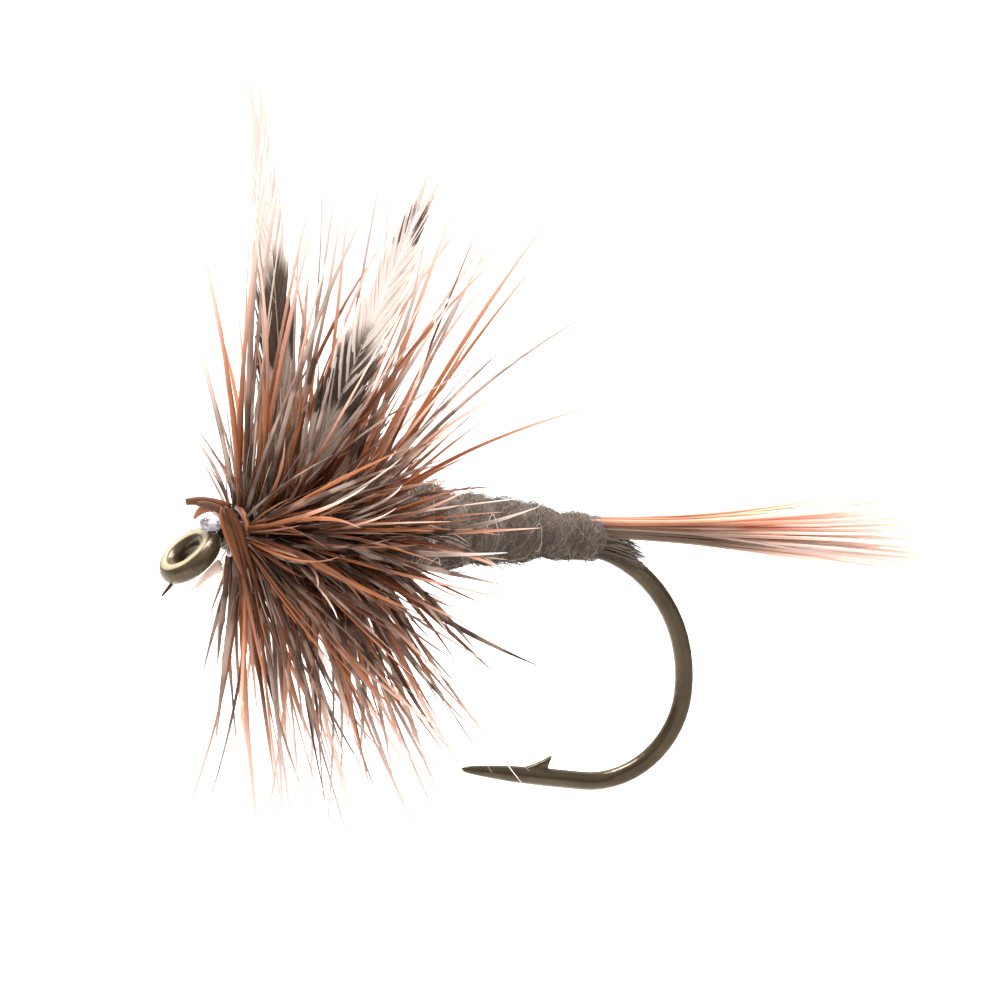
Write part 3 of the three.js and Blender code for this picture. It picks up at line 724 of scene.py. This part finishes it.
def build_fur_fibres(material):
    """Fine underfur lying round the body in the direction of the wraps, with its ends standing off."""
    rng = np.random.default_rng(7)
    count, steps = 6000, 6
    start_x = rng.uniform(BODY_FRONT_X - 0.2, BODY_END_X - 0.02, count)[:, None]
    start_angle = rng.uniform(0, TAU, count)[:, None]
    run = rng.uniform(0.4, 1.1, count)[:, None]
    heading = rng.normal(0.35, 0.45, count)[:, None]
    rise = rng.gamma(1.5, 0.034, count)[:, None]
    share = shares(steps)
    curl = rng.normal(0, 0.45, count)[:, None]
    x = np.minimum(start_x + run * share * (np.sin(heading) + curl * share), BODY_END_X + 0.08)
    radius = np.maximum(body_radius(x, start_angle), 0.3)
    angle = start_angle + run * share * np.cos(heading) / radius
    paths = body_point(x, angle, -0.03 + rise * (0.3 + 1.4 * share ** 1.5))
    radii = 0.010 * (1 - 0.75 * share ** 2)
    piece = fibres("fur_fibres", paths, radii, sides=3, tone=rng.uniform(0, 1, count))
    finish_piece(piece, "grey_fur", material)


def build_guard_hairs(material):
    """A few paler curled hairs that have worked loose from the fur, most of them near the hackle."""
    rng = np.random.default_rng(8)
    count, steps = 46, 16
    share = shares(steps)
    start_x = BODY_FRONT_X + (BODY_END_X - BODY_FRONT_X) * 0.75 * rng.uniform(0, 1, count)[:, None] ** 1.3
    start_angle = rng.uniform(0, TAU, count)[:, None]
    sweep = rng.normal(0, 0.9, count)[:, None]
    bend = rng.normal(0, 1.6, count)[:, None]
    x = start_x + 0.8 * share * np.sin(sweep) + 0.35 * bend * share ** 2
    angle = start_angle + 0.7 * share * np.cos(sweep) + 0.3 * np.sin(6 * share + bend)
    lift = 0.02 + rng.uniform(0.05, 0.4, count)[:, None] * np.sin(share * math.pi * 0.8)
    radii = 0.008 * (1 - 0.6 * share ** 2)
    paths = body_point(x, angle, lift)
    piece = fibres("guard_hairs", paths, radii, sides=4, tone=rng.uniform(0.6, 1.0, count))
    finish_piece(piece, "grey_fur", material)


def build_tag(material):
    """The dark wisp of fur left under the tail, lying back along the top of the bend."""
    rng = np.random.default_rng(9)
    count, steps = 900, 7
    share = shares(steps)
    run = rng.uniform(0.5, 1.75, count)[:, None]
    x = BODY_END_X - 0.55 + run * share + rng.uniform(-0.15, 0.12, count)[:, None]
    y = rng.normal(0, 0.19, count)[:, None] * (1 + 0.2 * share)
    bend_drop = 0.13 * np.maximum(x - BODY_BACK_X, 0) ** 2
    level = SHANK_Z + 0.10 + rng.normal(0, 0.13, count)[:, None]
    z = level + rng.normal(0.04, 0.07, count)[:, None] * share - bend_drop
    radii = 0.013 * (1 - 0.7 * share ** 2)
    piece = fibres("fur_tag", np.stack([x, y, z], -1), radii, sides=3, tone=rng.uniform(0, 0.6, count))
    finish_piece(piece, "grey_fur", material)


# --- Tail ---

TAIL_STATIONS = 28
TAIL_TOGETHER = 8  # fibres for each CAD fibre
TAIL_FREE_FROM_X = TAIL_START_X + 0.8
TAIL_FREE_BY_X = TAIL_START_X + 6.0

# Where along its length each kind of fibre begins to pale, and over how much of it; the paling is partly
# painted glow of light through the fibre
TAIL_PALING = {"brown": (0.28, 0.48), "barred": (0.34, 0.34)}


def centre_line(node, stations):
    """Points along the middle of a CAD fibre that runs along X."""
    ring_gap = 0.25
    points = node_points(node)
    points = points[np.argsort(points[:, 0])]
    starts = np.flatnonzero(np.diff(points[:, 0], prepend=-1e9) > ring_gap)
    rings = np.array([ring.mean(0) for ring in np.split(points, starts[1:])])
    places = np.linspace(rings[0, 0], rings[-1, 0], stations)
    return np.stack([np.interp(places, rings[:, 0], rings[:, k]) for k in range(3)], -1)


def tail_path(line, length, rng):
    """A fibre that follows a line for a share of its length, and strays where it is free."""
    share = np.linspace(0, 1, TAIL_STATIONS)
    free = smoothstep(line[:, 0], TAIL_FREE_FROM_X, TAIL_FREE_BY_X)
    x = line[0, 0] + (line[:, 0] - line[0, 0]) * length
    path = np.stack([x, np.interp(x, line[:, 0], line[:, 1]), np.interp(x, line[:, 0], line[:, 2])], -1)
    spread = rng.normal(0, 0.034, 3) + rng.normal(0, 0.18, 3) * (free * share)[:, None]
    path[:, 1:] += spread[:, 1:]
    path[:, 2] += 0.03 * np.sin(share * 8 + rng.uniform(0, TAU)) * free
    return path


def build_tail(materials):
    """Each CAD fibre becomes a few tapered feather fibres that lie together and part near their tips."""
    rng = np.random.default_rng(19)
    share = shares(TAIL_STATIONS)
    for name in sorted(name for name in frame["nodes"] if name.startswith("tail_fibre")):
        kind = "brown" if "brown" in name else "barred"
        line = centre_line(name, TAIL_STATIONS)
        lengths = rng.uniform(0.94, 1.09, TAIL_TOGETHER)
        paths = np.array([tail_path(line, length, rng) for length in lengths])
        radii = rng.uniform(0.036, 0.052, TAIL_TOGETHER)[:, None] * (1 - 0.7 * share ** 4)
        pale_from, pale_over = TAIL_PALING[kind]
        late = rng.normal(pale_from, 0.05, TAIL_TOGETHER)
        late += np.where(rng.uniform(0, 1, TAIL_TOGETHER) < 0.2, 0.12, 0)
        pale = np.clip((share - late[:, None]) / pale_over, 0, 1)
        piece = fibres(name.replace("tail_fibre", "tail_barbs"), paths, radii, sides=6,
                       tone=rng.uniform(0, 1, TAIL_TOGETHER), extra={"pale": pale})
        finish_piece(piece, f"{kind}_feather", materials[kind], name)


# --- Wings ---

WING_STATIONS = 24
WING_BARBS = 220
WING_BARB_STEPS = 12
WING_HALF_WIDTH = 0.8


def wing_line(node):
    """Foot and tip of a wing's free stem, from its CAD node."""
    foot_depth = 0.35
    points = node_points(node)
    tip = points[np.argmax(points[:, 2])]
    at_foot = np.abs(points[:, 2] - middle("wing_figure_eight")[2]) < foot_depth
    return points[at_foot].mean(0), tip


def wing_directions(foot, tip, side, twist):
    """The directions along a wing's stem, across it to its back edge, and off its inner face."""
    along = unit(tip - foot)
    flat = unit(BACKWARD - along * np.dot(BACKWARD, along))
    turn = Matrix.Rotation(side * math.radians(twist), 3, Vector(along))
    across = np.array(turn @ Vector(flat))
    return along, across, np.cross(across, along) * side


def walked(moves):
    """How far each fibre has come at each of its points, from 0 at the first."""
    return np.cumsum(moves, 1) - moves[:, :1]


def wing_barb_spread(place, edge, length, opening, rng):
    """How far each barb has come along the stem and out from it."""
    step = shares(WING_BARB_STEPS)
    reach = length * (0.23 - 0.09 * place) * rng.uniform(0.88, 1.08, len(place))
    closing = 1 - 0.55 * smoothstep(place, 0.6, 0.93)
    splay = np.radians(rng.normal(opening, 2.5, len(place))) * closing
    angle = splay[:, None] * (1 - 0.55 * step)
    run = reach[:, None] / (WING_BARB_STEPS - 1)
    return walked(np.cos(angle) * run), walked(np.sin(angle) * run) * edge[:, None]


def build_wing_quill(node, stem, material):
    radii = 0.045 * (1 - 0.8 * np.linspace(0, 1, len(stem)))
    piece = fibres(f"{node}_quill", stem[None], radii[None], sides=10)
    finish_piece(piece, "wing_feather", material)


def build_wing(node, barb_material, quill_material, side, twist, seed, opening, raised, banded, marked):
    """A hen feather tip: a fine stem, and barbs that leave it at a low angle and lie side by side.

    side is -1 for the wing towards -Y. twist is how far its inner side turns to face back, and opening the
    angle between barb and stem, both in degrees. Of the barbs on its front edge and on its back edge, raised
    is how much higher their pattern starts, as a share of the wing's length, and banded is how many are dark
    low down. marked is the share of all of them with a dark stroke near the tip.
    """
    rng = np.random.default_rng(seed)
    foot, tip = wing_line(node)
    length = np.linalg.norm(tip - foot)
    along, across, inward = wing_directions(foot, tip, side, twist)

    share = np.linspace(0, 1, WING_STATIONS)
    bow = 0.25 * np.sin(share * math.pi)[:, None] * inward
    stem = foot + share[:, None] * (tip - foot) * 0.97 + bow
    build_wing_quill(node, stem, quill_material)

    crowded = 1 - (1 - np.linspace(0, 1, WING_BARBS // 2)) ** 1.4
    place = np.repeat(0.06 + 0.87 * crowded, 2) + rng.uniform(-0.005, 0.005, WING_BARBS)
    edge = np.tile([-1.0, 1.0], WING_BARBS // 2)
    forward, outward = wing_barb_spread(place, edge, length, opening, rng)
    base = np.stack([np.interp(place, share, stem[:, k]) for k in range(3)], -1)
    step = shares(WING_BARB_STEPS)
    out_share = np.abs(outward) / WING_HALF_WIDTH
    off_face = rng.normal(0, 0.035, WING_BARBS)[:, None] * step - 0.10 * out_share ** 2
    paths = base[:, None] + forward[:, :, None] * along + outward[:, :, None] * across
    paths = paths + off_face[:, :, None] * inward

    start = np.where(edge < 0, *raised)[:, None]
    tone = rng.uniform(0, 1, WING_BARBS)
    dark = rng.uniform(0, 1, WING_BARBS) < np.where(edge < 0, *banded)
    stroked = rng.uniform(0, 1, WING_BARBS) < marked
    pattern = {
        "place": place[:, None] - start + forward / length + 0.10 * out_share ** 1.5,
        "banded": dark.astype(float)[:, None],
        "mark": stroked.astype(float)[:, None],
    }
    narrowed = np.where(stroked & (place > 0.5), 0.5, 1.0)
    half_width = (0.064 - 0.022 * smoothstep(place, 0.5, 0.85)) * narrowed
    radii = half_width[:, None] * (1 - 0.8 * step ** 3)
    piece = fibres(f"{node}_barbs", paths, radii, sides=6, wide=across, flatness=0.3, tone=tone,
                   extra=pattern)
    finish_piece(piece, "wing_feather", barb_material, node)


# --- Hackle: angles go round the shank from the top, positive towards -Y ---

WING_SPLAY = math.radians(31)
STEM_RADIUS = 0.08
STEM_LAG = 0.2  # how far back a stem lies for each turn that it starts late
COLLAR_RADIUS = LASHING_RADIUS + STEM_RADIUS
COLLAR_FRONT_X = HEAD_BACK_X + 0.12
COLLAR_BACK_X = BODY_FRONT_X - 0.1
COLLAR_TURNS = 7
WINDING_START = {"brown": 0.0, "barred": 0.5}  # in turns
BARB_LENGTH = HACKLE_REACH - COLLAR_RADIUS
FRONT_LEAN, BACK_LEAN = -9, 25  # in degrees
MOST_LEAN = math.radians(52)  # before any curl
MOST_TILT = math.radians(60)  # curl and all


def collar_x(share):
    """Where along the shank a share of the winding lies."""
    return COLLAR_FRONT_X + (COLLAR_BACK_X - COLLAR_FRONT_X) * share


def outward_at(angle):
    """The direction straight off the shank at an angle."""
    return np.stack([np.zeros_like(angle), -np.sin(angle), np.cos(angle)], -1)


def facing(angle):
    """How far an angle points up, down, near (towards -Y) and far, each from 0 to 1."""
    return [np.maximum(part, 0) for part in (np.cos(angle), -np.cos(angle), np.sin(angle), -np.sin(angle))]


def barb_paths(share, angle, length, lean, curl, twist, steps):
    """Paths of barbs that leave the collar at a share of its winding and curve as they go out."""
    along = shares(steps)
    tilt = np.minimum(lean[:, None] * (0.75 + 0.25 * along) + curl[:, None] * along, MOST_TILT)
    spin = angle[:, None] + twist[:, None] * along
    run = (length / (steps - 1))[:, None, None]
    heading = outward_at(spin) * np.cos(tilt)[:, :, None] + BACKWARD * np.sin(tilt)[:, :, None]
    foot = outward_at(angle) * COLLAR_RADIUS * 0.9 + np.array([0, 0, SHANK_Z])
    foot[:, 0] = collar_x(share)
    return foot[:, None] + walked(heading * run)


def parted_by_wings(angle):
    """Barb angles, with those near a wing pushed to either side of it."""
    from_top = np.arctan2(np.sin(angle), np.cos(angle))
    from_wing = np.abs(from_top) - WING_SPLAY
    push = np.where(np.abs(from_wing) < TAU / 8, 0.23 * np.sin(4 * from_wing), 0)
    return angle + np.sign(from_top) * push


def barb_lean(share, angle, rng):
    """How far back each barb leans: forward in front, back behind, and further back to the sides."""
    up, down, near, far = facing(angle)
    lean = FRONT_LEAN + (BACK_LEAN - FRONT_LEAN) * share - 10 * up * np.exp(-15 * share) + 26 * far
    lean += near * (25 - 30 * share) * (1 - down)
    lean += down * (18 - 23 * share) * (1 - 0.7 * near)
    return np.radians(lean + rng.normal(0, 6.5, len(share)))


def paling_and_glow_start(angle, share, bold, rng):
    """How far out each barb begins to pale: soon where it points away or up, late towards -Y. That the start
    turns with direction is painted light: the upper and far barbs, towards the lamp, are coloured paler.
    """
    up, down, near, far = (part ** 2 for part in facing(angle))
    start = 0.27 * up + 0.20 * down + 0.52 * near + (0.14 + 0.35 * share) * far
    return start + np.where(bold, 0.38, 0.0) + rng.normal(0, 0.08, len(angle))


def wide_sides(rng, count, spread):
    """Directions for the wide sides of flat barbs, scattered about the shank's."""
    return unit(rng.normal(0, spread, (count, 3)) + 1.6 * BACKWARD)


def build_stem(kind, material):
    points = 280
    share = np.linspace(0, 1, points)
    angle = (share * COLLAR_TURNS + WINDING_START[kind]) * TAU
    stem = outward_at(angle) * COLLAR_RADIUS + np.array([0, 0, SHANK_Z])
    stem[:, 0] = collar_x(share) + WINDING_START[kind] * STEM_LAG
    radii = np.full((1, points), STEM_RADIUS)
    piece = fibres(f"{kind}_hackle_stem", stem[None], radii, sides=8, wide=BACKWARD)
    finish_piece(piece, f"{kind}_feather", material)


def build_barbs(kind, material, seed, count):
    """The long barbs of one wound feather, gathered into clumps with gaps between them.

    The bold barbs are shorter and keep their colour to a sharp tip, and the others fade away at full length.
    """
    rng = np.random.default_rng(seed)
    share = (np.arange(count) + rng.uniform(0, 1, count)) / count
    turn = share * COLLAR_TURNS + WINDING_START[kind]
    angle = turn * TAU + rng.normal(0, 0.08, count)
    angle = parted_by_wings(angle + 0.10 * np.sin(9 * angle + 1.7 * turn))
    up, down, near = facing(angle)[:3]
    bold = rng.uniform(0, 1, count) < 0.34 + 0.4 * near ** 2 - 0.14 * up ** 2 + 0.12 * down ** 2

    lean = barb_lean(share, angle, rng)
    lean = np.where(bold, np.maximum(lean, np.radians(FRONT_LEAN)), lean)
    swept = rng.uniform(0, 1, count) < 0.07 * share * (1 - near) * (np.sin(angle) > -0.3)
    lean = np.minimum(lean + np.where(swept, np.radians(rng.uniform(12, 34, count)), 0), MOST_LEAN)
    reach = np.where(bold, rng.uniform(0.60, 0.88, count), rng.uniform(0.90, 1.12, count))
    reach = reach * (1 + 0.26 * up ** 3 + 0.12 * down ** 3) * (1 - 0.22 * near * share)
    curl = np.minimum(rng.normal(0.06, 0.24, count), 0.4)
    twist = rng.normal(0, 0.20, count)
    steps = 14
    paths = barb_paths(share, angle, BARB_LENGTH * reach, lean, curl, twist, steps)

    along = shares(steps)
    pale = np.clip((along - paling_and_glow_start(angle, share, bold, rng)[:, None]) / 0.55, 0, 1)
    width = np.where(bold, rng.uniform(0.055, 0.095, count), rng.uniform(0.045, 0.078, count))[:, None]
    ragged = 1 + rng.uniform(-0.12, 0.12, (count, steps))
    sharpness = np.where(bold, 2.8, 4.5)[:, None]
    radii = width * (1 - 0.88 * along ** sharpness) * (1 - 0.3 * pale) * ragged
    wide = wide_sides(rng, count, 1)
    # Painted light and shade: barbs that point up get lighter tones, and those towards -Y darker ones.
    tone = rng.uniform(0, 1, count) + 0.25 * up - 0.12 * near
    piece = fibres(f"{kind}_hackle_barbs", paths, radii, sides=6, wide=wide, flatness=0.42, tone=tone,
                   extra={"pale": pale})
    finish_piece(piece, f"{kind}_feather", material, f"hackle_{kind}")


def soft_paths(rng, count, steps, lengths, lean_spread, curl, twist_spread):
    """The angles, lengths and paths of soft barbs scattered over the collar."""
    share = rng.uniform(0, 1, count)
    angle = rng.uniform(0, TAU, count)
    lean = barb_lean(share, angle, rng) + rng.normal(0, lean_spread, count)
    length = rng.uniform(*lengths, count)
    curls = rng.normal(curl, 0.25, count)
    twist = rng.normal(0, twist_spread, count)
    return angle, length, barb_paths(share, angle, length, lean, curls, twist, steps)


def build_web(kind, material, seed, count):
    """The short webby barbules that make the collar dense close to the shank."""
    rng = np.random.default_rng(seed)
    steps = 7
    _, length, paths = soft_paths(rng, count, steps, (1.0, 3.4), 0.16, 0.1, 0.3)
    along = shares(steps)
    radii = rng.uniform(0.024, 0.046, count)[:, None] * (1 - 0.8 * along ** 2)
    tone = rng.uniform(0.3, 1.1, count)
    piece = fibres(f"{kind}_hackle_web", paths, radii, sides=4, flatness=0.6, tone=tone,
                   reach=length / BARB_LENGTH, extra={"pale": np.zeros((count, 1))})
    finish_piece(piece, f"{kind}_feather", material)


def build_down(kind, material, seed, count):
    """The broad soft blades of webby barbs, matted together close to the shank."""
    rng = np.random.default_rng(seed)
    steps = 10
    angle, length, paths = soft_paths(rng, count, steps, (2.2, 5.2), 0.10, 0.05, 0.25)
    along = shares(steps)
    ragged = 1 + rng.uniform(-0.2, 0.2, (count, steps))
    radii = rng.uniform(0.07, 0.13, count)[:, None] * (1 - 0.96 * along ** 1.6) * ragged
    wide = wide_sides(rng, count, 0.6)
    # Painted light: blades that point up get lighter tones.
    tone = rng.uniform(0.25, 0.8, count) + 0.25 * facing(angle)[0]
    piece = fibres(f"{kind}_hackle_down", paths, radii, sides=6, wide=wide, flatness=0.2, tone=tone,
                   reach=length / BARB_LENGTH, extra={"pale": 0.3 * along ** 2})
    finish_piece(piece, f"{kind}_feather", material)


# --- Stage, light and camera ---

VIEW_AZIMUTH = math.radians(-24)
VIEW_ELEVATION = math.radians(11.5)
VIEW_ROLL = math.radians(7)
VIEW_WIDTH = 25.0
VIEW_DISTANCE = 260.0
EYE_LEFT_OF_CENTRE = 7.75
EYE_BELOW_CENTRE = 1.4
SENSOR_WIDTH = 36
FLOOR_BELOW = 30.0


def build_world():
    """A soft white dome, less bright towards the horizon, so that rounded pieces shade off."""
    world = bpy.data.worlds.new("soft_white")
    world.use_nodes = True
    tree = world.node_tree
    height = tree.nodes.new("ShaderNodeSeparateXYZ")
    tree.links.new(tree.nodes.new("ShaderNodeTexCoord").outputs["Generated"], height.inputs[0])
    dome = tree.nodes.new("ShaderNodeMapRange")
    for name, value in (("From Min", 0.05), ("From Max", 0.55), ("To Min", 0.35), ("To Max", 1.4)):
        dome.inputs[name].default_value = value
    tree.links.new(height.outputs["Z"], dome.inputs["Value"])
    background = tree.nodes["Background"]
    background.inputs["Color"].default_value = (1.0, 1.0, 1.0, 1)
    tree.links.new(dome.outputs[0], background.inputs["Strength"])
    bpy.context.scene.world = world


def build_floor():
    half = 6000.0
    floor_z = cad_bounds[0][2] / MM - FLOOR_BELOW
    corners = [(-half, -half, floor_z), (half, -half, floor_z), (half, half, floor_z), (-half, half, floor_z)]
    floor = make_object("floor", corners, [[0, 1, 2, 3]])
    n = Nodes("pale_floor")
    n.mottled_base(3.0, (0.93, 0.93, 0.93), (0.96, 0.96, 0.96))
    n.set(Roughness=0.9)
    floor.data.materials.append(n.material)


def add_area_light(name, place, size, energy):
    """A round lamp that faces the origin."""
    light = bpy.data.lights.new(name, "AREA")
    light.shape = "DISK"
    light.size = size * MM
    light.energy = energy
    lamp = add_object(name, light)
    lamp.location = Vector(place) * MM
    lamp.rotation_euler = (-Vector(place)).to_track_quat("-Z", "Y").to_euler()


def build_camera():
    """A far camera at the photo's angle, with the fly placed as in the photo."""
    level = math.cos(VIEW_ELEVATION)
    back = Vector((math.sin(VIEW_AZIMUTH) * level, -math.cos(VIEW_AZIMUTH) * level, math.sin(VIEW_ELEVATION)))
    right = Vector((math.cos(VIEW_AZIMUTH), math.sin(VIEW_AZIMUTH), 0))
    up = back.cross(right)
    turned_right = right * math.cos(VIEW_ROLL) + up * math.sin(VIEW_ROLL)
    turned_up = up * math.cos(VIEW_ROLL) - right * math.sin(VIEW_ROLL)
    aim = turned_right * EYE_LEFT_OF_CENTRE + turned_up * EYE_BELOW_CENTRE
    data = bpy.data.cameras.new("camera")
    data.sensor_width = SENSOR_WIDTH
    data.lens = SENSOR_WIDTH * VIEW_DISTANCE / VIEW_WIDTH
    data.clip_start = 0.01
    data.clip_end = 10
    camera = add_object("camera", data)
    rotation = Matrix((turned_right, turned_up, back)).transposed().to_4x4()
    camera.matrix_world = Matrix.Translation((aim + back * VIEW_DISTANCE) * MM) @ rotation
    bpy.context.scene.camera = camera


# --- The fly ---

build_camera()
build_world()
build_floor()
add_area_light("overhead", place=(-20, 60, 220), size=120, energy=1.6)

thread = thread_material()
build_hook(hook_material())
build_tail_thread(thread)
build_wing_thread(thread)
build_head_thread(thread)
build_underwrap(thread)
build_figure_eight(thread)
build_cement(cement_material())

build_fur_core(fur_core_material())
build_fur_fibres(fur_material("fur_fibres", [
    (0.2, (0.050, 0.036, 0.027)), (0.5, (0.082, 0.060, 0.047)), (0.85, (0.14, 0.107, 0.086)),
]))
build_guard_hairs(fur_material("guard_hairs", [(0.3, (0.24, 0.20, 0.17)), (0.8, (0.55, 0.48, 0.42))]))
build_tag(fur_material("fur_tag", [(0.2, (0.034, 0.023, 0.016)), (0.8, (0.115, 0.085, 0.065))]))

tail_brown_stops = [(0.0, (0.35, 0.150, 0.090)), (0.5, (0.62, 0.30, 0.19)), (1.0, (0.86, 0.50, 0.34))]
tail_barred_stops = [(0.0, (0.165, 0.102, 0.070)), (0.5, (0.29, 0.183, 0.133)), (1.0, (0.43, 0.29, 0.22))]
build_tail({
    "brown": tail_material("tail_brown", tail_brown_stops, midway=(0.97, 0.56, 0.39)),
    "barred": tail_material("tail_barred", tail_barred_stops, midway=(0.76, 0.52, 0.41)),
})

wing_barbs = wing_material()
wing_quill = wing_quill_material()
build_wing("wing_near", wing_barbs, wing_quill, side=-1, twist=35, seed=31, opening=18,
           raised=(0.0, 0.0), banded=(0.85, 0.7), marked=0.5)
build_wing("wing_far", wing_barbs, wing_quill, side=1, twist=15, seed=37, opening=20,
           raised=(0.03, 0.09), banded=(0.96, 1.0), marked=0.05)

barb_materials = {"brown": brown_barb_material(), "barred": barred_barb_material()}
build_stem("brown", stem_material("brown_quill", (0.16, 0.052, 0.022), (0.34, 0.12, 0.05)))
build_stem("barred", stem_material("barred_quill", (0.05, 0.03, 0.022), (0.18, 0.12, 0.09)))
# What is built, then the seed and the count for the brown feather and for the barred one
for build, brown, barred in (
    (build_barbs, (41, 175), (43, 160)),
    (build_web, (51, 320), (53, 280)),
    (build_down, (61, 110), (63, 130)),
):
    build("brown", barb_materials["brown"], *brown)
    build("barred", barb_materials["barred"], *barred)
build_butts(barb_materials["brown"])
build_first_barbs(barb_materials["brown"])

bpy.context.scene.view_settings.view_transform = "Standard"
